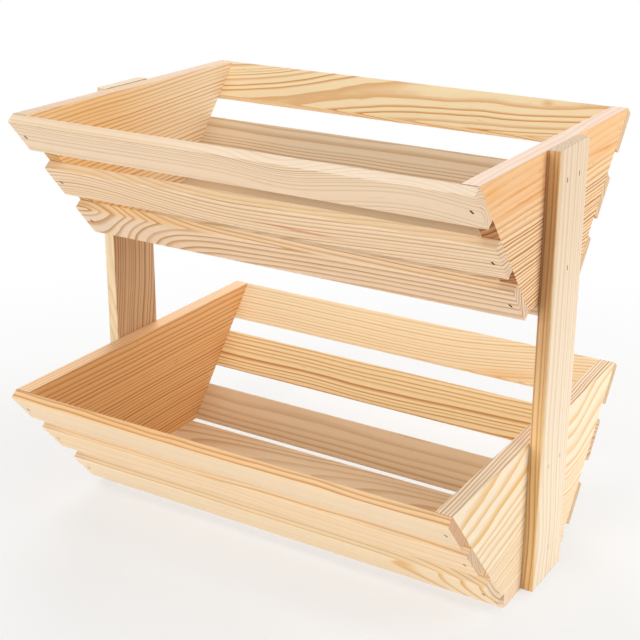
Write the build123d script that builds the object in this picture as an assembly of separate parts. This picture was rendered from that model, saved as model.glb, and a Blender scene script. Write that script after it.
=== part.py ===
from build123d import *
import math
import os

# A two-tier fruit stand of nailed pine boards. X runs along the trays, Y from front to back, Z up.
# The origin lies on the ground, in the middle of the stand.

# Driving dimensions, in millimetres and degrees
tray_length = 380.0  # length of a slat, flush with the outer faces of the end panels
panel_thickness = 13.0
slat_width = 34.4
slat_thickness = 8.0
slat_lean = 39.4  # lean of the slats from the vertical
upper_first_gap = 21.6  # between the top and the middle slat
upper_second_gap = 16.6  # between the middle and the bottom slat
lower_first_gap = 14.8
lower_second_gap = 20.0
lower_panel_lip = 1.5  # flared panel edge left bare under the bottom slat
floor_board_width = 53.0
upper_floor_thickness = 8.5
lower_floor_thickness = 12.0
upper_floor_margin = 15.9  # from the floor's long edge to the flared edge of the panel
lower_floor_margin = 4.4
lower_floor_gap = 9.0  # between the two boards of the lower floor
tier_clearance = 98.5  # from the lower rim up to the underside of the upper floor
post_width = 53.0
post_thickness = 9.5
post_overtop = 0.5  # height of a post above the upper rim
edge_round = 0.8  # eased long edges of slats, posts and floor boards
rim_round = 0.6  # eased long edges along the rim of an end panel
round_share = 0.4  # largest share of a board's thickness that a rounded edge may take

# Brads are flat nails with a narrow crown
brad_crown = 3.6
brad_crown_height = 0.8
brad_shank = 1.4
brad_depth = 1.7
brad_point = 2.0  # length of the pointed end
brad_sink = 0.1  # depth of the crown below the surface of the wood
brad_cover = 3.0  # wood left ahead of a brad's point
slat_brad_turn = -64.0  # turn of a slat brad's crown from the grain
post_brad_spread = 22.0  # between the two upper brads of a panel
post_brad_drop = 22.4  # from the rim down to the two upper brads
upper_post_brad_rise = 21.0  # from the panel's bottom edge up to the lowest brad
lower_post_brad_rise = 13.0
floor_brad_inset = 11.0  # from the long edge of a floor board to its brads
floor_brad_bite = 15.0  # depth of a floor brad in the panel

# The four sides of the stand
LEFT, RIGHT = -1, 1
FRONT, BACK = -1, 1
ends = {LEFT: "left", RIGHT: "right"}
sides = {FRONT: "front", BACK: "back"}

# Values shared by both trays
lean_sine = math.sin(math.radians(slat_lean))
lean_cosine = math.cos(math.radians(slat_lean))
half_length = tray_length / 2
panel_middle = half_length - panel_thickness / 2
post_brad_bite = panel_thickness - brad_cover
slat_brad_bite = slat_width / 2 * lean_cosine / lean_sine - brad_cover


class Tray:
    """The places of one tray's boards, worked out from its floor upwards."""

    def __init__(
        self, name, underside, floor_thickness, floor_boards, floor_margin, gaps, brad_rise, lip=0.0
    ):
        first_gap, second_gap = gaps
        middle_start = slat_width + first_gap
        bottom_start = middle_start + slat_width + second_gap
        flare_length = bottom_start + slat_width + lip
        self.name = name
        self.floor_thickness = floor_thickness
        self.floor_boards = floor_boards
        self.slat_starts = {"top": 0.0, "middle": middle_start, "bottom": bottom_start}
        self.panel_bottom = underside + floor_thickness
        self.rim = self.panel_bottom + flare_length * lean_cosine
        self.bottom_half = max(floor_boards.values()) + floor_board_width / 2 + floor_margin
        self.rim_half = self.bottom_half + flare_length * lean_sine
        self.brad_rows = {"upper": self.rim - post_brad_drop, "lowest": self.panel_bottom + brad_rise}

    def panel_name(self, end):
        return f"{self.name}_{ends[end]}_end_panel"

    def slat_seat(self, side, start):
        """The seat of a slat on the flared panel edges, facing out of the tray."""
        along = start + slat_width / 2
        middle = (0, side * (self.rim_half - along * lean_sine), self.rim - along * lean_cosine)
        return Plane(origin=middle, x_dir=(1, 0, 0), z_dir=(0, side * lean_cosine, -lean_sine))

    def floor_seat(self, centre):
        """The seat of a floor board under the end panels, facing down."""
        return Plane(origin=(0, centre, self.panel_bottom), x_dir=(1, 0, 0), z_dir=(0, 0, -1))

    def post_brad_places(self):
        """Two brads side by side near the rim and one near the floor, as places across and up a post."""
        half_spread = post_brad_spread / 2
        upper_row = self.brad_rows["upper"]
        return ((-half_spread, upper_row), (half_spread, upper_row), (0, self.brad_rows["lowest"]))


lower_floor_centre = (floor_board_width + lower_floor_gap) / 2
lower = Tray(
    name="lower",
    underside=0.0,
    floor_thickness=lower_floor_thickness,
    floor_boards={
        "lower_front_floor_board": FRONT * lower_floor_centre,
        "lower_back_floor_board": BACK * lower_floor_centre,
    },
    floor_margin=lower_floor_margin,
    gaps=(lower_first_gap, lower_second_gap),
    brad_rise=lower_post_brad_rise,
    lip=lower_panel_lip,
)
upper = Tray(
    name="upper",
    underside=lower.rim + tier_clearance,
    floor_thickness=upper_floor_thickness,
    floor_boards={"upper_floor_board": 0.0},
    floor_margin=upper_floor_margin,
    gaps=(upper_first_gap, upper_second_gap),
    brad_rise=upper_post_brad_rise,
)
post_height = upper.rim + post_overtop


def eased_board(length, width, thickness):
    """A board along X that lies on Z = 0, with its four long edges rounded."""
    board = Box(length, width, thickness, align=(Align.CENTER, Align.CENTER, Align.MIN))
    return fillet(board.edges().filter_by(Axis.X), min(edge_round, thickness * round_share))


def end_panel(tray, end):
    """A trapezoid panel, wide at the rim, with its outer face at the end of the slats."""
    outline = Polygon(
        (-tray.bottom_half, tray.panel_bottom),
        (tray.bottom_half, tray.panel_bottom),
        (tray.rim_half, tray.rim),
        (-tray.rim_half, tray.rim),
        align=None,
    )
    panel = Pos(end * panel_middle, 0, 0) * extrude(Plane.YZ * outline, panel_thickness / 2, both=True)
    rim_edges = panel.edges().filter_by(Axis.Y).group_by(Axis.Z)[-1]
    return fillet(rim_edges, min(rim_round, panel_thickness * round_share))


def post_seat(end):
    """The seat of a post on the end panels, facing away from the trays, with X along the post."""
    return Plane(origin=(end * half_length, 0, post_height / 2), x_dir=(0, 0, 1), z_dir=(end, 0, 0))


def brad_outline(length):
    """A brad seen on its wide side, point down, with its crown sunk below Y = 0."""
    neck = -brad_sink - brad_crown_height
    tip = -brad_sink - length
    right_half = [
        (brad_crown / 2, -brad_sink),
        (brad_crown / 2, neck),
        (brad_shank / 2, neck),
        (brad_shank / 2, tip + brad_point),
    ]
    left_half = [(-x, y) for x, y in reversed(right_half)]
    return Polygon(*right_half, (0, tip), *left_half, align=None)


wood = {}
brads = {}


def drive_brad(group, spot, thickness, bite, *boards):
    """Drives a brad through a board of this thickness, and cuts its hole in the named boards.

    The spot lies on the outer board's surface and faces out of it, with X along the crown.
    """
    length = thickness - brad_sink + bite
    brad = spot * extrude(Plane.XZ * brad_outline(length), brad_depth / 2, both=True)
    mouth = spot * Box(brad_crown, brad_depth, brad_sink, align=(Align.CENTER, Align.CENTER, Align.MAX))
    brads.setdefault(group, []).append(brad)
    for board in boards:
        wood[board] = wood[board] - brad - mouth


for tray in (lower, upper):
    for end in ends:
        wood[tray.panel_name(end)] = end_panel(tray, end)

    # Slats on both flared sides, with a brad into the middle of each end panel
    for side, side_name in sides.items():
        group = f"{tray.name}_{side_name}_slat_brads"
        for row, start in tray.slat_starts.items():
            slat = f"{tray.name}_{side_name}_{row}_slat"
            seat = tray.slat_seat(side, start)
            wood[slat] = seat * eased_board(tray_length, slat_width, slat_thickness)
            for end in ends:
                spot = seat * Pos(end * panel_middle, 0, slat_thickness) * Rot(0, 0, slat_brad_turn)
                drive_brad(group, spot, slat_thickness, slat_brad_bite, slat, tray.panel_name(end))

    # Floor boards under the end panels, with two brads at each end
    group = f"{tray.name}_floor_brads"
    brad_offset = floor_board_width / 2 - floor_brad_inset
    for floor_board, centre in tray.floor_boards.items():
        seat = tray.floor_seat(centre)
        wood[floor_board] = seat * eased_board(tray_length, floor_board_width, tray.floor_thickness)
        for end in ends:
            boards = (floor_board, tray.panel_name(end))
            for offset in (-brad_offset, brad_offset):
                spot = seat * Pos(end * panel_middle, offset, tray.floor_thickness)
                drive_brad(group, spot, tray.floor_thickness, floor_brad_bite, *boards)

# Posts on the outer faces of the end panels, with three brads into each panel
for end, end_name in ends.items():
    post = f"{end_name}_post"
    group = f"{end_name}_post_brads"
    seat = post_seat(end)
    wood[post] = seat * eased_board(post_height, post_width, post_thickness)
    for tray in (lower, upper):
        for across, height in tray.post_brad_places():
            spot = seat * Pos(height - post_height / 2, across, post_thickness)
            drive_brad(group, spot, post_thickness, post_brad_bite, post, tray.panel_name(end))

os.makedirs("parts", exist_ok=True)
for node, board in wood.items():
    export_step(board, f"parts/{node}.step")
for node, group in brads.items():
    export_step(Compound(children=group), f"parts/{node}.step")
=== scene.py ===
import math
from dataclasses import dataclass

import bpy
from mathutils import Matrix, Vector


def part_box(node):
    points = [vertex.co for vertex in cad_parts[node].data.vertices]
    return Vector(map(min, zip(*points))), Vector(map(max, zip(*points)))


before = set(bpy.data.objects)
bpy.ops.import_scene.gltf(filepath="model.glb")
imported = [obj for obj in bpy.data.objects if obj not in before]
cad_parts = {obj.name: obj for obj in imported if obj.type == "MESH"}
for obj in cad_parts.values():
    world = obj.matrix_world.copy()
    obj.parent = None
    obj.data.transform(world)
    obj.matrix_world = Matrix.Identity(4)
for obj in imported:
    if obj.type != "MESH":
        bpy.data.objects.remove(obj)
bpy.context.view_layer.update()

MILLIMETRE = 0.001
SLAT_LEAN = math.radians(39.4)
SLAT_HALF_WIDTH = 17.2  # in millimetres
WHITE = (1.0, 1.0, 1.0, 1.0)

# Camera, as the picture was taken
CAMERA_PLACE = Vector((0.5158, -0.8463, 0.5513))
CAMERA_YAW = math.radians(31.53)
CAMERA_PITCH = math.radians(19.46)  # how far it looks down
CAMERA_ROLL = math.radians(0.23)
CAMERA_LENS = 75.36
CAMERA_SHIFT = -0.0625

SOCKET_KINDS = {"value": "NodeSocketFloat", "vector": "NodeSocketVector", "colour": "NodeSocketColor"}

# Places of a Mix node's colour sockets, which share their names with its sockets for numbers
MIX_SHARE, MIX_FIRST, MIX_SECOND, MIX_RESULT = 0, 6, 7, 2


def srgb(red, green, blue):
    """A colour as seen on a screen, from 0 to 255, as linear light."""
    def linear(part):
        share = part / 255
        return share / 12.92 if share <= 0.04045 else ((share + 0.055) / 1.055) ** 2.4

    return (linear(red), linear(green), linear(blue), 1.0)


# Small helpers for node trees

def put(tree, kind, inputs=None, **settings):
    """Adds a node. An input is a plain value, or the output of another node that is linked to it."""
    node = tree.nodes.new(kind)
    for name, value in settings.items():
        setattr(node, name, value)
    for name, value in (inputs or {}).items():
        if isinstance(value, bpy.types.NodeSocket):
            tree.links.new(value, node.inputs[name])
        else:
            node.inputs[name].default_value = value
    return node


def calc(tree, operation, *values):
    """The result of a Math node."""
    return put(tree, "ShaderNodeMath", dict(enumerate(values)), operation=operation).outputs[0]


def calc_vector(tree, operation, first, second):
    """The outputs of a Vector Math node."""
    return put(tree, "ShaderNodeVectorMath", {0: first, 1: second}, operation=operation).outputs


def cloud(tree, point, scales, seed, detail=1.0):
    """Smooth noise at a point, finer the larger its scale in a direction is."""
    scaled = calc_vector(tree, "MULTIPLY", point, scales)[0]
    inputs = {"Vector": scaled, "W": seed, "Scale": 1.0, "Detail": detail}
    return put(tree, "ShaderNodeTexNoise", inputs, noise_dimensions="4D").outputs


def swing(tree, noise):
    """Noise from 0 to 1 as a swing from -1 to 1."""
    return calc(tree, "MULTIPLY_ADD", noise, 2.0, -1.0)


def half_swing(tree, noise):
    """Noise from 0 to 1 as a swing from -0.5 to 0.5."""
    return calc(tree, "SUBTRACT", noise, 0.5)


def remap(tree, value, low, high, to_low=0.0, to_high=1.0):
    """A value carried smoothly from one range to another and held at its ends."""
    inputs = {"Value": value, "From Min": low, "From Max": high, "To Min": to_low, "To Max": to_high}
    return put(tree, "ShaderNodeMapRange", inputs, interpolation_type="SMOOTHSTEP").outputs[0]


def blend_colour(tree, share, first, second, mode="MIX"):
    """Two colours mixed by a share."""
    inputs = {MIX_SHARE: share, MIX_FIRST: first, MIX_SECOND: second}
    return put(tree, "ShaderNodeMix", inputs, data_type="RGBA", blend_type=mode).outputs[MIX_RESULT]


def start_group(name, inputs, outputs):
    """A new shader node group with its named sockets, and its input and output nodes."""
    group = bpy.data.node_groups.new(name, "ShaderNodeTree")
    for label, kind in inputs.items():
        group.interface.new_socket(label, in_out="INPUT", socket_type=SOCKET_KINDS[kind])
    for label, kind in outputs.items():
        group.interface.new_socket(label, in_out="OUTPUT", socket_type=SOCKET_KINDS[kind])
    given = group.nodes.new("NodeGroupInput").outputs
    results = group.nodes.new("NodeGroupOutput").inputs
    return group, given, results


def finish_group(group, results, outputs):
    """Links what a group has worked out to its named outputs."""
    for label, socket in outputs.items():
        group.links.new(socket, results[label])
    return group


# Wood effects. A board point is in millimetres from the board's middle: along, across and through it.
# Noise scales are given in the same three directions.

def make_grain_sway():
    """Grain that swings aside on one stretch of a board, as it does beside a branch."""
    inputs = {
        "Board Point": "vector",
        "Place": "value",
        "Width": "value",
        "Across": "value",
        "Depth": "value",
    }
    group, given, results = start_group("grain_sway", inputs, {"Swayed Point": "vector"})
    part = put(group, "ShaderNodeSeparateXYZ", {0: given["Board Point"]}).outputs
    away = calc(group, "DIVIDE", calc(group, "SUBTRACT", part["X"], given["Place"]), given["Width"])
    swell = calc(group, "EXPONENT", calc(group, "MULTIPLY", calc(group, "MULTIPLY", away, away), -1.0))
    across = calc(group, "SUBTRACT", part["Y"], calc(group, "MULTIPLY", swell, given["Across"]))
    deep = calc(group, "SUBTRACT", part["Z"], calc(group, "MULTIPLY", swell, given["Depth"]))
    swayed = put(group, "ShaderNodeCombineXYZ", {0: part["X"], 1: across, 2: deep}).outputs[0]
    return finish_group(group, results, {"Swayed Point": swayed})


LONG_BENDS = (0.007, 0.018, 0.018)  # noise scales of the rings' long bends
SHORT_BENDS = (0.03, 0.1, 0.1)  # noise scales of their short bends
SHORT_BEND_SHARE = 0.3  # strength of the short bends beside the long ones
YEAR_STEP = 0.45  # step from year to year in the noise that makes the years uneven
LATE_PEAK = 0.92  # share of a year at which its late wood is darkest
YEAR_CLOSE = 0.94  # share of a year at which its late wood starts to end
LEAST_LATE = 0.5  # strength of the late wood in the faintest year


def make_growth_rings():
    """Yearly rings round a drifting pith: the dark late wood of each year and the distance from the pith."""
    inputs = {
        "Board Point": "vector",
        "Half Length": "value",
        "Pith Across": "value",
        "Pith Depth": "value",
        "Drift Across": "value",
        "Drift Depth": "value",
        "Ring Width": "value",
        "Outer Radius": "value",
        "Outer Ring Width": "value",
        "Unevenness": "value",
        "Late Share": "value",
        "Waver": "value",
        "Seed": "value",
    }
    group, given, results = start_group("growth_rings", inputs, {"Late Wood": "value", "Radius": "value"})
    point = given["Board Point"]
    part = put(group, "ShaderNodeSeparateXYZ", {0: point}).outputs
    along = calc(group, "DIVIDE", part["X"], given["Half Length"])
    long_bends = cloud(group, point, LONG_BENDS, given["Seed"])["Color"]
    bend = put(group, "ShaderNodeSeparateColor", {0: long_bends}).outputs
    short_bends = cloud(group, point, SHORT_BENDS, given["Seed"])["Fac"]

    def offset(place, pith, drift, noise):
        path = calc(group, "MULTIPLY_ADD", given[drift], along, given[pith])
        shift = calc(group, "MULTIPLY", swing(group, noise), given["Waver"])
        return calc(group, "ADD", calc(group, "SUBTRACT", place, path), shift)

    across = offset(part["Y"], "Pith Across", "Drift Across", bend[0])
    deep = offset(part["Z"], "Pith Depth", "Drift Depth", bend[1])
    deep_squared = calc(group, "MULTIPLY", deep, deep)
    reach = calc(group, "SQRT", calc(group, "MULTIPLY_ADD", across, across, deep_squared))
    tremble = calc(group, "MULTIPLY", half_swing(group, short_bends), given["Waver"])
    radius = calc(group, "MULTIPLY_ADD", tremble, SHORT_BEND_SHARE, reach)

    # Beyond the outer radius the tree grew faster or slower
    inner = calc(group, "MINIMUM", radius, given["Outer Radius"])
    outer = calc(group, "SUBTRACT", radius, inner)
    years = calc(group, "DIVIDE", inner, given["Ring Width"])
    years = calc(group, "ADD", years, calc(group, "DIVIDE", outer, given["Outer Ring Width"]))
    step = calc(group, "MULTIPLY_ADD", years, YEAR_STEP, given["Seed"])
    inputs = {"W": step, "Scale": 1.0, "Detail": 0.0}
    uneven = put(group, "ShaderNodeTexNoise", inputs, noise_dimensions="1D").outputs["Fac"]
    count = calc(group, "MULTIPLY_ADD", uneven, given["Unevenness"], years)
    season = calc(group, "FRACT", count)
    year = calc(group, "ADD", calc(group, "FLOOR", count), given["Seed"])
    vigour = put(group, "ShaderNodeTexWhiteNoise", {"W": year}, noise_dimensions="1D").outputs["Value"]

    # Late wood darkens slowly through the season and stops sharply at the year's end
    start = calc(group, "SUBTRACT", LATE_PEAK, given["Late Share"])
    growing = remap(group, season, start, LATE_PEAK)
    lasting = remap(group, season, YEAR_CLOSE, 1.0, 1.0, 0.0)
    strength = calc(group, "MULTIPLY_ADD", vigour, 1.0 - LEAST_LATE, LEAST_LATE)
    late = calc(group, "MULTIPLY", calc(group, "MULTIPLY", growing, lasting), strength)
    return finish_group(group, results, {"Late Wood": late, "Radius": radius})


STREAK_BENDS = (0.08, 0.3, 0.3)  # noise scales of a streak's outline
STREAK_FALL = -4.0  # how steeply a streak fades towards its full size


def make_tinted_streak():
    """A tinted patch on a board, which may lie slightly askew in the grain: some are streaks of other wood,
    some are painted shade.
    """
    inputs = {
        "Color": "colour",
        "Tint": "colour",
        "Board Point": "vector",
        "Place": "vector",
        "Size": "vector",
        "Slope": "value",
    }
    group, given, results = start_group("tinted_streak", inputs, {"Color": "colour"})
    point = given["Board Point"]
    away = calc_vector(group, "SUBTRACT", point, given["Place"])[0]
    part = put(group, "ShaderNodeSeparateXYZ", {0: away}).outputs
    bend = cloud(group, point, STREAK_BENDS, 0.0)["Fac"]
    across = calc(group, "SUBTRACT", part["Y"], calc(group, "MULTIPLY", part["X"], given["Slope"]))
    across = calc(group, "ADD", across, swing(group, bend))
    skewed = put(group, "ShaderNodeCombineXYZ", {0: part["X"], 1: across, 2: part["Z"]}).outputs[0]
    share = calc_vector(group, "DIVIDE", skewed, given["Size"])[0]
    share_squared = calc_vector(group, "DOT_PRODUCT", share, share)["Value"]
    streak = calc(group, "EXPONENT", calc(group, "MULTIPLY", share_squared, STREAK_FALL))
    tinted = blend_colour(group, streak, given["Color"], given["Tint"], "MULTIPLY")
    return finish_group(group, results, {"Color": tinted})


BAND_SCALES = (0.004, 0.22, 0.22)  # noise scales of long bands of tone
FIBRE_SCALES = (0.03, 2.0, 2.0)  # noise scales of the fibres
DUCT_SCALES = (0.11, 1.3, 1.3)  # noise scales of the short resin ducts
FINE_DETAIL = 2.0  # detail of the bands and fibres
DUCT_LEVELS = (0.74, 0.82)  # noise between which a duct starts to show and shows in full
DUCT_SHARE = 0.3  # strength of a duct beside late wood
HEART_BLUR = 10.0  # half the width of the change from heart wood to sap wood
HEART_WAVER = 14.0  # how far the heart's outline strays, in all
HEART_FADE = -0.85  # change in the strength of the rings in heart wood
EDGE_FACING = (0.8, 0.95)  # how far a surface has to face across the board to be a sawn edge
END_FACING = (0.5, 0.75)  # how far a surface has to face along the grain to be an end
BAND_SHADE = 0.16
FIBRE_SHADE = 0.12
RED_SHADE = 0.6  # shades change red less than green, and blue more
BLUE_SHADE = 1.6
PINE_ROUGHNESS = 0.56
LATE_ROUGHNESS = -0.08  # late wood is smoother
FIBRE_ROUGHNESS = 0.12
END_ROUGHNESS = 0.15
LATE_HEIGHT = 0.08  # height of late wood beside that of the fibres


def make_pine_tone():
    """Colour, roughness and height of planed pine, from its rings, fibres, sawn edges and ends."""
    inputs = {
        "Board Point": "vector",
        "Board Normal": "vector",
        "Late Wood": "value",
        "Radius": "value",
        "Early Colour": "colour",
        "Late Colour": "colour",
        "Heart Colour": "colour",
        "Heart Radius": "value",
        "Edge Early Colour": "colour",
        "Edge Late Colour": "colour",
        "End Early Colour": "colour",
        "End Late Colour": "colour",
        "Seed": "value",
    }
    outputs = {"Color": "colour", "Roughness": "value", "Height": "value"}
    group, given, results = start_group("pine_tone", inputs, outputs)
    point = given["Board Point"]
    seed = given["Seed"]
    late = given["Late Wood"]
    bands = cloud(group, point, BAND_SCALES, seed, FINE_DETAIL)["Fac"]
    fibres = cloud(group, point, FIBRE_SCALES, seed, FINE_DETAIL)["Fac"]
    dashes = cloud(group, point, DUCT_SCALES, seed, 0.0)["Fac"]
    ducts = remap(group, dashes, *DUCT_LEVELS)

    # Heart wood near the pith may be redder than the sap wood round it, and its rings are fainter
    outline = calc(group, "MULTIPLY_ADD", half_swing(group, bands), HEART_WAVER, given["Radius"])
    inward = calc(group, "SUBTRACT", given["Heart Radius"], outline)
    heart = remap(group, inward, -HEART_BLUR, HEART_BLUR)
    early = blend_colour(group, heart, given["Early Colour"], given["Heart Colour"])
    ring = calc(group, "MULTIPLY", late, calc(group, "MULTIPLY_ADD", heart, HEART_FADE, 1.0))
    colour = blend_colour(group, ring, early, given["Late Colour"])
    colour = blend_colour(group, calc(group, "MULTIPLY", ducts, DUCT_SHARE), colour, given["Late Colour"])

    # Sawn edges and ends have tones of their own
    facing = put(group, "ShaderNodeSeparateXYZ", {0: given["Board Normal"]}).outputs
    sawn_edge = remap(group, calc(group, "ABSOLUTE", facing["Y"]), *EDGE_FACING)
    edge_colour = blend_colour(group, late, given["Edge Early Colour"], given["Edge Late Colour"])
    colour = blend_colour(group, sawn_edge, colour, edge_colour)
    end_grain = remap(group, calc(group, "ABSOLUTE", facing["X"]), *END_FACING)
    end_colour = blend_colour(group, late, given["End Early Colour"], given["End Late Colour"])
    colour = blend_colour(group, end_grain, colour, end_colour)

    shade = calc(group, "MULTIPLY_ADD", half_swing(group, bands), BAND_SHADE, 1.0)
    shade = calc(group, "MULTIPLY_ADD", half_swing(group, fibres), FIBRE_SHADE, shade)
    red = calc(group, "POWER", shade, RED_SHADE)
    blue = calc(group, "POWER", shade, BLUE_SHADE)
    warmth = put(group, "ShaderNodeCombineColor", {0: red, 1: shade, 2: blue}).outputs[0]
    colour = blend_colour(group, 1.0, colour, warmth, "MULTIPLY")

    rough = calc(group, "MULTIPLY_ADD", late, LATE_ROUGHNESS, PINE_ROUGHNESS)
    rough = calc(group, "MULTIPLY_ADD", fibres, FIBRE_ROUGHNESS, rough)
    rough = calc(group, "MULTIPLY_ADD", end_grain, END_ROUGHNESS, rough)
    height = calc(group, "MULTIPLY_ADD", late, LATE_HEIGHT, fibres)
    return finish_group(group, results, {"Color": colour, "Roughness": rough, "Height": height})


grain_sway = make_grain_sway()
growth_rings = make_growth_rings()
tinted_streak = make_tinted_streak()
pine_tone = make_pine_tone()


@dataclass
class Sway:
    """A stretch where the grain swings aside, in millimetres from the board's middle."""

    place: float
    width: float
    across: float = 0.0
    depth: float = 0.0


@dataclass
class Streak:
    """A tinted patch, in millimetres from the board's middle, and the tint it lays over the wood: some are
    streaks of other wood, some are painted shade.
    """

    place: tuple
    size: tuple  # how far it reaches along, across and through the board
    tint: tuple
    slope: float = 0.0


def painted_upper_edge_shade(along, length, tint):
    """Painted shade on the upper edge of a slat, through its whole thickness: a streak that darkens the edge
    around a place along it.
    """
    return Streak(place=(along, SLAT_HALF_WIDTH, 4), size=(length, 5, 100), tint=tint)


def tones(early, late):
    """The colours of early and late wood."""
    return srgb(*early), srgb(*late)


@dataclass
class Cut:
    """How a board was sawn from its tree, in millimetres from the board's middle, and its tones."""

    pith: tuple  # place of the pith, across and through the board
    drift: tuple = (0.0, 0.0)  # how far the pith runs off towards the board's far end
    sways: tuple = ()
    streaks: tuple = ()
    ring: float = 3.0  # width of a year's growth
    outer_radius: float = 1000.0  # distance from the pith beyond which the growth changed
    outer_ring: float = 1.0  # width of a year's growth there
    uneven: float = 1.0  # how much the years differ in width
    late_share: float = 0.5  # share of a year's growth that is late wood
    waver: float = 2.0  # how far the rings stray from true circles
    face: tuple = tones((236, 212, 180), (206, 168, 124))
    edge: tuple = None  # the narrow long sides, where they differ from the faces
    end: tuple = tones((230, 196, 158), (188, 142, 100))
    heart: tuple = srgb(232, 188, 140)  # the early wood's colour near the pith
    heart_radius: float = 0.0  # how far from the pith the heart wood reaches
    seed: float = 1.0  # picks the board's own noise


def board_axes(name):
    """The grain's direction in a board, the direction across it, and the one through it."""
    if name.endswith("_slat"):
        side = -1 if "_front_" in name else 1
        across = Vector((0, side * math.sin(SLAT_LEAN), math.cos(SLAT_LEAN)))
        grain = Vector((1, 0, 0))
    elif name.endswith("_end_panel"):
        grain = Vector((0, 1, 0))
        across = Vector((0, 0, 1))
    elif name.endswith("_post"):
        grain = Vector((0, 0, 1))
        across = Vector((0, -1, 0))
    else:
        grain = Vector((1, 0, 0))
        across = Vector((0, 1, 0))
    return grain, across, grain.cross(across)


PINE_IOR = 1.45
PINE_SPECULAR = 0.2
FIBRE_BUMP = {"Strength": 0.3, "Distance": 0.0003}


def pine_material(name, cut):
    """Planed pine for one board, laid out in the board's own directions."""
    low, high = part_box(name)
    grain, across, through = board_axes(name)
    turn = Matrix((grain, across, through)).transposed().to_euler()
    half_length = (high - low).dot(grain) / 2 / MILLIMETRE
    edge = cut.edge or cut.face

    material = bpy.data.materials.new(name + "_pine")
    material.use_nodes = True
    tree = material.node_tree
    shader = tree.nodes["Principled BSDF"]
    place = tree.nodes.new("ShaderNodeTexCoord").outputs
    scale = (MILLIMETRE, MILLIMETRE, MILLIMETRE)
    inputs = {"Vector": place["Object"], "Location": (low + high) / 2, "Rotation": turn, "Scale": scale}
    point = put(tree, "ShaderNodeMapping", inputs, vector_type="TEXTURE").outputs[0]
    inputs = {"Vector": place["Normal"], "Rotation": turn}
    normal = put(tree, "ShaderNodeMapping", inputs, vector_type="TEXTURE").outputs[0]

    swayed = point
    for sway in cut.sways:
        inputs = {
            "Board Point": swayed,
            "Place": sway.place,
            "Width": sway.width,
            "Across": sway.across,
            "Depth": sway.depth,
        }
        swayed = put(tree, "ShaderNodeGroup", inputs, node_tree=grain_sway).outputs[0]

    inputs = {
        "Board Point": swayed,
        "Half Length": half_length,
        "Pith Across": cut.pith[0],
        "Pith Depth": cut.pith[1],
        "Drift Across": cut.drift[0],
        "Drift Depth": cut.drift[1],
        "Ring Width": cut.ring,
        "Outer Radius": cut.outer_radius,
        "Outer Ring Width": cut.outer_ring,
        "Unevenness": cut.uneven,
        "Late Share": cut.late_share,
        "Waver": cut.waver,
        "Seed": cut.seed,
    }
    rings = put(tree, "ShaderNodeGroup", inputs, node_tree=growth_rings).outputs
    inputs = {
        "Board Point": swayed,
        "Board Normal": normal,
        "Late Wood": rings["Late Wood"],
        "Radius": rings["Radius"],
        "Early Colour": cut.face[0],
        "Late Colour": cut.face[1],
        "Heart Colour": cut.heart,
        "Heart Radius": cut.heart_radius,
        "Edge Early Colour": edge[0],
        "Edge Late Colour": edge[1],
        "End Early Colour": cut.end[0],
        "End Late Colour": cut.end[1],
        "Seed": cut.seed,
    }
    tone = put(tree, "ShaderNodeGroup", inputs, node_tree=pine_tone).outputs
    colour = tone["Color"]
    for streak in cut.streaks:
        inputs = {
            "Color": colour,
            "Tint": streak.tint,
            "Board Point": point,
            "Place": streak.place,
            "Size": streak.size,
            "Slope": streak.slope,
        }
        colour = put(tree, "ShaderNodeGroup", inputs, node_tree=tinted_streak).outputs[0]
    tree.links.new(colour, shader.inputs["Base Color"])
    tree.links.new(tone["Roughness"], shader.inputs["Roughness"])
    bump = put(tree, "ShaderNodeBump", {"Height": tone["Height"], **FIBRE_BUMP})
    tree.links.new(bump.outputs[0], shader.inputs["Normal"])
    shader.inputs["IOR"].default_value = PINE_IOR
    shader.inputs["Specular IOR Level"].default_value = PINE_SPECULAR
    return material


STEEL_METALLIC = 0.8
STEEL_MOTTLE = {"Scale": 2500.0, "Detail": 2.0}
STEEL_ROUGHNESS = (0.55, 0.75)
MOTTLE_LEVELS = (0.3, 0.7)  # noise at which the steel is smoothest and roughest


def steel_material(name, dark, light, bright_heights=None):
    """Dull mottled steel of the sunk brads, which may turn brighter down the stand between two heights; given
    a near-black colour, it paints the shade down the nail holes.
    """
    material = bpy.data.materials.new(name)
    material.use_nodes = True
    tree = material.node_tree
    shader = tree.nodes["Principled BSDF"]
    place = tree.nodes.new("ShaderNodeTexCoord").outputs["Object"]
    mottle = put(tree, "ShaderNodeTexNoise", {"Vector": place, **STEEL_MOTTLE}).outputs["Fac"]
    share = mottle
    if bright_heights:
        height = put(tree, "ShaderNodeSeparateXYZ", {0: place}).outputs["Z"]
        share = remap(tree, height, *bright_heights, 1.0, 0.0)
    tree.links.new(blend_colour(tree, share, dark, light), shader.inputs["Base Color"])
    tree.links.new(remap(tree, mottle, *MOTTLE_LEVELS, *STEEL_ROUGHNESS), shader.inputs["Roughness"])
    shader.inputs["Metallic"].default_value = STEEL_METALLIC
    return material


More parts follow.
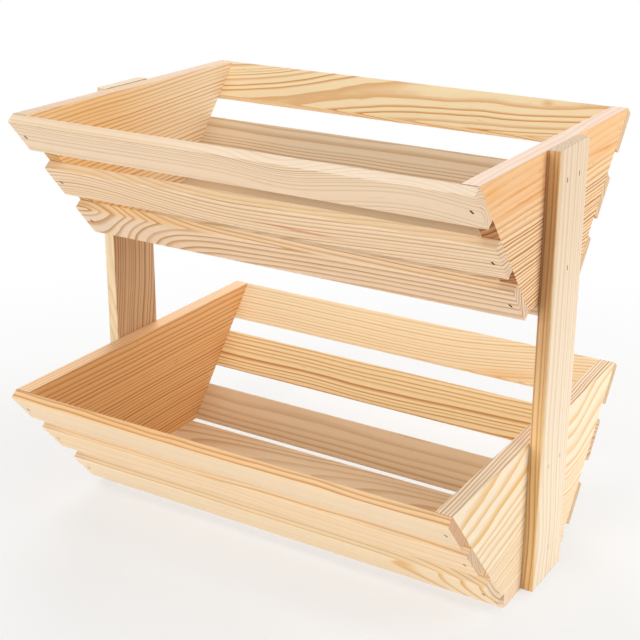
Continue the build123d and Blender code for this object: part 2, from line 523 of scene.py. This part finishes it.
# How each board was cut
FLOOR_TONES = tones((248, 224, 192), (222, 184, 138))
FLOOR_END = tones((252, 228, 200), (238, 202, 162))
POST_END = tones((247, 228, 203), (228, 198, 164))
CUTS = {
    "upper_front_top_slat": Cut(
        pith=(-8, 17.9), ring=2.1, late_share=0.4, waver=1.2, seed=1.3,
        sways=(Sway(place=45, width=36, across=-7), Sway(place=142, width=46, across=10)),
        # painted shade on the upper edge, darker towards its left end
        streaks=(painted_upper_edge_shade(along=-120, length=220, tint=srgb(251, 245, 237)),),
        face=tones((227, 204, 176), (178, 142, 92)),
        # The narrow sides are painted paler than the face, making up for the weaker light on the upper edge
        edge=tones((250, 228, 202), (239, 213, 180)),
        end=tones((238, 207, 176), (196, 158, 124)),
        heart=srgb(227, 204, 176), heart_radius=17,
    ),
    "upper_front_middle_slat": Cut(
        pith=(32, -36), drift=(3, 0), ring=3.1, uneven=0.7, seed=2.1,
        sways=(Sway(place=-165, width=90, across=26), Sway(place=220, width=170, across=18)),
        streaks=(
            Streak(place=(32, -5, 4), size=(62, 3.2, 20), slope=-0.05, tint=srgb(232, 190, 178)),
            # Painted shade darkening the left part of the slat's face
            Streak(place=(-150, 0, 8), size=(190, 90, 20), tint=srgb(252, 248, 243)),
        ),
        face=tones((233, 209, 180), (190, 150, 92)),
        edge=tones((231, 202, 163), (216, 180, 134)),
        end=tones((238, 206, 173), (168, 124, 92)),
    ),
    "upper_front_bottom_slat": Cut(
        pith=(-62, -140), ring=2.8, outer_radius=166, outer_ring=3.5, uneven=0.9, seed=3.7,
        sways=(Sway(place=-300, width=230, depth=-14), Sway(place=-187, width=60, depth=-24)),
        # painted shade on the upper edge, darker towards its left end
        streaks=(painted_upper_edge_shade(along=-120, length=170, tint=srgb(252, 244, 226)),),
        face=tones((231, 208, 181), (186, 134, 66)),
        edge=tones((234, 204, 166), (188, 144, 96)),
        end=tones((241, 207, 175), (156, 112, 80)),
        heart=srgb(231, 208, 181), heart_radius=154,
    ),
    # The lower front slats' faces are painted paler than the upper tray's, standing in for the bright light
    # the floor throws onto the lower tray
    "lower_front_top_slat": Cut(
        pith=(58, -12), ring=1.3, seed=4.4,
        # painted shade on the upper edge, darker towards its left end
        streaks=(painted_upper_edge_shade(along=-70, length=220, tint=srgb(252, 242, 226)),),
        face=tones((240, 215, 182), (230, 202, 165)),
        edge=tones((248, 210, 162), (211, 156, 104)),
        end=tones((232, 188, 150), (172, 116, 76)),
    ),
    "lower_front_middle_slat": Cut(
        pith=(-20, -60), ring=2.4, waver=3.0, seed=5.9,
        face=tones((245, 218, 182), (233, 201, 158)),
        edge=tones((238, 212, 174), (212, 170, 120)),
        end=tones((234, 201, 168), (176, 132, 98)),
    ),
    "lower_front_bottom_slat": Cut(
        pith=(9, -113.5), ring=3.4, uneven=0.8, late_share=0.34, waver=0.8, seed=6.2,
        sways=(Sway(place=225, width=60, depth=17),),
        face=tones((247, 226, 194), (228, 172, 86)),
        edge=tones((241, 217, 180), (214, 174, 120)),
        end=tones((242, 215, 182), (176, 130, 90)),
    ),
    "upper_back_top_slat": Cut(
        pith=(11, -20), drift=(11, 0), ring=3.4, late_share=0.45, waver=4.0, seed=7.5,
        sways=(Sway(place=-124, width=70, depth=-1.3), Sway(place=-190, width=120, across=-30)),
        streaks=(Streak(place=(126, 13, 4), size=(10, 5, 20), tint=srgb(240, 216, 196)),),
        face=tones((255, 231, 188), (220, 154, 74)),
    ),
    "upper_back_middle_slat": Cut(pith=(30, -25), ring=3.2, seed=8.8),
    "upper_back_bottom_slat": Cut(pith=(-10, -45), ring=3.4, seed=9.1),
    "lower_back_top_slat": Cut(
        pith=(40, -14), ring=2.6, waver=3.0, seed=10.6,
        sways=(Sway(place=200, width=100, across=20),),
        streaks=(Streak(place=(100, -14, 4), size=(75, 9, 20), slope=0.12, tint=srgb(252, 234, 212)),),
        face=tones((252, 233, 198), (230, 187, 126)),
    ),
    "lower_back_middle_slat": Cut(
        pith=(-38, -12), ring=3.6, waver=3.0, seed=11.2,
        sways=(Sway(place=190, width=110, across=5),),
        face=tones((255, 231, 184), (202, 132, 52)),
    ),
    "lower_back_bottom_slat": Cut(pith=(20, -40), ring=3.2, seed=12.9),
    "upper_right_end_panel": Cut(
        pith=(90, -40), drift=(4, 0), ring=4.0, outer_radius=93, outer_ring=2.5, uneven=0.6,
        late_share=0.7, waver=4.0, seed=13.4,
        streaks=(
            Streak(place=(-112, 45, 6), size=(30, 9, 20), tint=srgb(253, 238, 214)),
            Streak(place=(-72, 37, 6), size=(85, 1.8, 20), slope=0.02, tint=srgb(243, 216, 182)),
            Streak(place=(-55, 28, 6), size=(95, 2.2, 20), slope=0.02, tint=srgb(236, 203, 164)),
            Streak(place=(85, 33, 6), size=(70, 2.2, 20), slope=-0.02, tint=srgb(240, 208, 170)),
        ),
        face=tones((255, 218, 169), (160, 78, 2)),
        edge=tones((252, 224, 202), (240, 207, 180)),
        end=tones((186, 134, 90), (118, 74, 44)),
        heart=srgb(249, 199, 144), heart_radius=85,
    ),
    "lower_right_end_panel": Cut(
        pith=(94, -300), drift=(4, -5), ring=2.6, outer_radius=324, outer_ring=1.1, uneven=0.6,
        late_share=0.55, waver=3.2, seed=14.8,
        sways=(Sway(place=72, width=28, across=-5),),
        face=tones((255, 236, 207), (239, 187, 107)),
        edge=tones((253, 231, 200), (176, 112, 48)),
        end=tones((240, 209, 166), (190, 150, 114)),
    ),
    "upper_left_end_panel": Cut(
        pith=(-90, -20), drift=(6, 0), ring=3.3, uneven=0.5, late_share=0.45, waver=3.0, seed=15.5,
        streaks=(Streak(place=(-66, 0, 7.5), size=(204, 400, 4), tint=srgb(255, 219, 160)),),
        face=tones((255, 238, 205), (220, 154, 96)),
        edge=tones((226, 191, 156), (212, 175, 139)),
        end=tones((208, 166, 112), (152, 106, 66)),
    ),
    "lower_left_end_panel": Cut(
        pith=(70, -30), ring=2.8, uneven=0.6, seed=16.3,
        face=tones((240, 188, 130), (176, 114, 60)),
        edge=tones((255, 216, 169), (234, 170, 113)),
        end=tones((196, 146, 102), (138, 90, 56)),
    ),
    "right_post": Cut(
        pith=(34, -60), ring=2.6, late_share=0.55, waver=1.5, seed=17.7,
        sways=(Sway(place=-125, width=45, depth=2.5),),
        streaks=(
            # Painted shade: darkens the post towards its top, where less light falls on it than lower down
            Streak(place=(168, 0, 0), size=(330, 300, 100), tint=srgb(238, 230, 224)),
            Streak(place=(0, 26.5, 4.7), size=(900, 9, 4), tint=srgb(252, 240, 216)),
            # Painted shade on the narrow front face beside the upper tray, where the tray's end panel keeps
            # the light off it
            Streak(place=(60, 26.5, 0), size=(190, 3, 100), tint=srgb(208, 197, 194)),
        ),
        face=tones((255, 237, 211), (232, 204, 165)),
        edge=tones((255, 222, 164), (218, 142, 66)),
        end=POST_END,
    ),
    "left_post": Cut(
        pith=(-50, -25), ring=3.0, waver=5.0, seed=18.1,
        sways=(Sway(place=-70, width=70, across=9),),
        face=tones((217, 180, 141), (164, 120, 82)),
        edge=tones((235, 211, 172), (222, 195, 157)),
        end=POST_END,
    ),
    "upper_floor_board": Cut(pith=(0, -45), drift=(0, 14), ring=3.2, seed=19.6),
    "lower_front_floor_board": Cut(
        pith=(8, -45), drift=(0, -12), ring=3.2, seed=20.2,
        face=FLOOR_TONES, end=FLOOR_END,
    ),
    "lower_back_floor_board": Cut(
        pith=(-8, -45), drift=(0, 10), ring=3.2, seed=21.9,
        face=FLOOR_TONES, end=FLOOR_END,
    ),
}

POST_BRAD_HEIGHTS = (0.12, 0.24)  # in metres: below the first a post's brads are bright, above the other dull


def dress():
    """Gives every board and brad its finish."""
    # The upper brads' steel is painted near black, standing for the shade down their nail holes
    steel_painted_hole_shade = steel_material("brad_steel_painted_hole_shade", srgb(10, 8, 7), srgb(22, 19, 17))
    grey_steel = steel_material("grey_brad_steel", srgb(74, 66, 57), srgb(104, 95, 84))
    bright_steel = steel_material(
        "bright_brad_steel", srgb(134, 122, 107), srgb(206, 196, 180), POST_BRAD_HEIGHTS
    )
    for name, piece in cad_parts.items():
        if name.endswith("_post_brads"):
            material = bright_steel
        elif name.endswith("_brads"):
            material = steel_painted_hole_shade if name.startswith("upper_") else grey_steel
        else:
            material = pine_material(name, CUTS[name])
        piece.data.materials.clear()
        piece.data.materials.append(material)


# Studio

FLOOR_SIZE = 12.0
FLOOR_DROP = 0.0002  # keeps the floor clear of the stand's underside
FLOOR_COLOUR = (0.9, 0.9, 0.9, 1.0)
FLOOR_CLEAR = (0.25, 0.75)  # distances from the stand's middle over which the floor turns to plain white
FLOOR_NEAR_WHITE = 0.6  # share of plain white near the stand, where the floor takes its shadow
ROOM_LIGHT = 0.22
STAND_MIDDLE = (0.0, 0.0, 0.17)


def seen_rays(tree):
    """1 for rays from the camera and for mirrored and passed-on ones, 0 for the rays that light the stand."""
    path = tree.nodes.new("ShaderNodeLightPath").outputs
    seen = calc(tree, "MAXIMUM", path["Is Camera Ray"], path["Is Glossy Ray"])
    return calc(tree, "MAXIMUM", seen, path["Is Transmission Ray"])


def make_floor():
    """A plain white floor that keeps the stand's shadow and turns to clear white further off."""
    bpy.ops.mesh.primitive_plane_add(size=FLOOR_SIZE, location=(0, 0, -FLOOR_DROP))
    floor = bpy.context.object
    floor.name = "floor"
    material = bpy.data.materials.new("white_floor")
    material.use_nodes = True
    tree = material.node_tree
    tree.nodes.clear()
    seen = seen_rays(tree)
    place = tree.nodes.new("ShaderNodeTexCoord").outputs["Object"]
    away = put(tree, "ShaderNodeVectorMath", {0: place}, operation="LENGTH").outputs["Value"]
    clear = remap(tree, away, *FLOOR_CLEAR, FLOOR_NEAR_WHITE, 1.0)
    share = calc(tree, "MULTIPLY", seen, clear)
    matt = put(tree, "ShaderNodeBsdfDiffuse", {"Color": FLOOR_COLOUR})
    white = put(tree, "ShaderNodeEmission", {"Color": WHITE, "Strength": 1.0})
    mix = put(tree, "ShaderNodeMixShader", {0: share, 1: matt.outputs[0], 2: white.outputs[0]})
    put(tree, "ShaderNodeOutputMaterial", {"Surface": mix.outputs[0]})
    floor.data.materials.append(material)


def make_world():
    """Even room light, and a white background for the camera and for reflections."""
    world = bpy.data.worlds.new("studio")
    bpy.context.scene.world = world
    world.use_nodes = True
    tree = world.node_tree
    tree.nodes.clear()
    seen = seen_rays(tree)
    room = put(tree, "ShaderNodeBackground", {"Color": WHITE, "Strength": ROOM_LIGHT})
    backdrop = put(tree, "ShaderNodeBackground", {"Color": WHITE, "Strength": 1.0})
    mix = put(tree, "ShaderNodeMixShader", {0: seen, 1: room.outputs[0], 2: backdrop.outputs[0]})
    put(tree, "ShaderNodeOutputWorld", {"Surface": mix.outputs[0]})


def soft_box(name, place, target, size, power):
    """A large lamp that faces the target, with its width and height in metres and its power in watts."""
    lamp = bpy.data.lights.new(name, "AREA")
    lamp.shape = "RECTANGLE"
    lamp.size, lamp.size_y = size
    lamp.energy = power
    holder = bpy.data.objects.new(name, lamp)
    bpy.context.scene.collection.objects.link(holder)
    holder.location = place
    holder.rotation_euler = (Vector(target) - Vector(place)).to_track_quat("-Z", "Y").to_euler()


def make_lamps():
    """A tall lamp in front, and wider ones on the right, above and behind."""
    soft_box("front_lamp", place=(-0.15, -1.65, 0.36), target=(0.0, 0.0, 0.12), size=(0.6, 1.3), power=22.4)
    soft_box("right_lamp", place=(1.4, 0.55, 0.6), target=STAND_MIDDLE, size=(1.2, 1.2), power=14.2)
    soft_box("top_lamp", place=(0.0, 0.1, 1.15), target=STAND_MIDDLE, size=(0.9, 0.9), power=3.2)
    soft_box("back_lamp", place=(-1.0, 1.3, 0.9), target=STAND_MIDDLE, size=(1.2, 1.2), power=18.0)


def make_camera():
    """The camera at the picture's place and angle."""
    data = bpy.data.cameras.new("camera")
    data.lens = CAMERA_LENS
    data.shift_y = CAMERA_SHIFT
    camera = bpy.data.objects.new("camera", data)
    bpy.context.scene.collection.objects.link(camera)
    camera.matrix_world = (
        Matrix.Translation(CAMERA_PLACE)
        @ Matrix.Rotation(CAMERA_YAW, 4, "Z")
        @ Matrix.Rotation(math.pi / 2 - CAMERA_PITCH, 4, "X")
        @ Matrix.Rotation(CAMERA_ROLL, 4, "Z")
    )
    bpy.context.scene.camera = camera


dress()
make_floor()
make_world()
make_lamps()
make_camera()
bpy.context.scene.view_settings.view_transform = "Standard"
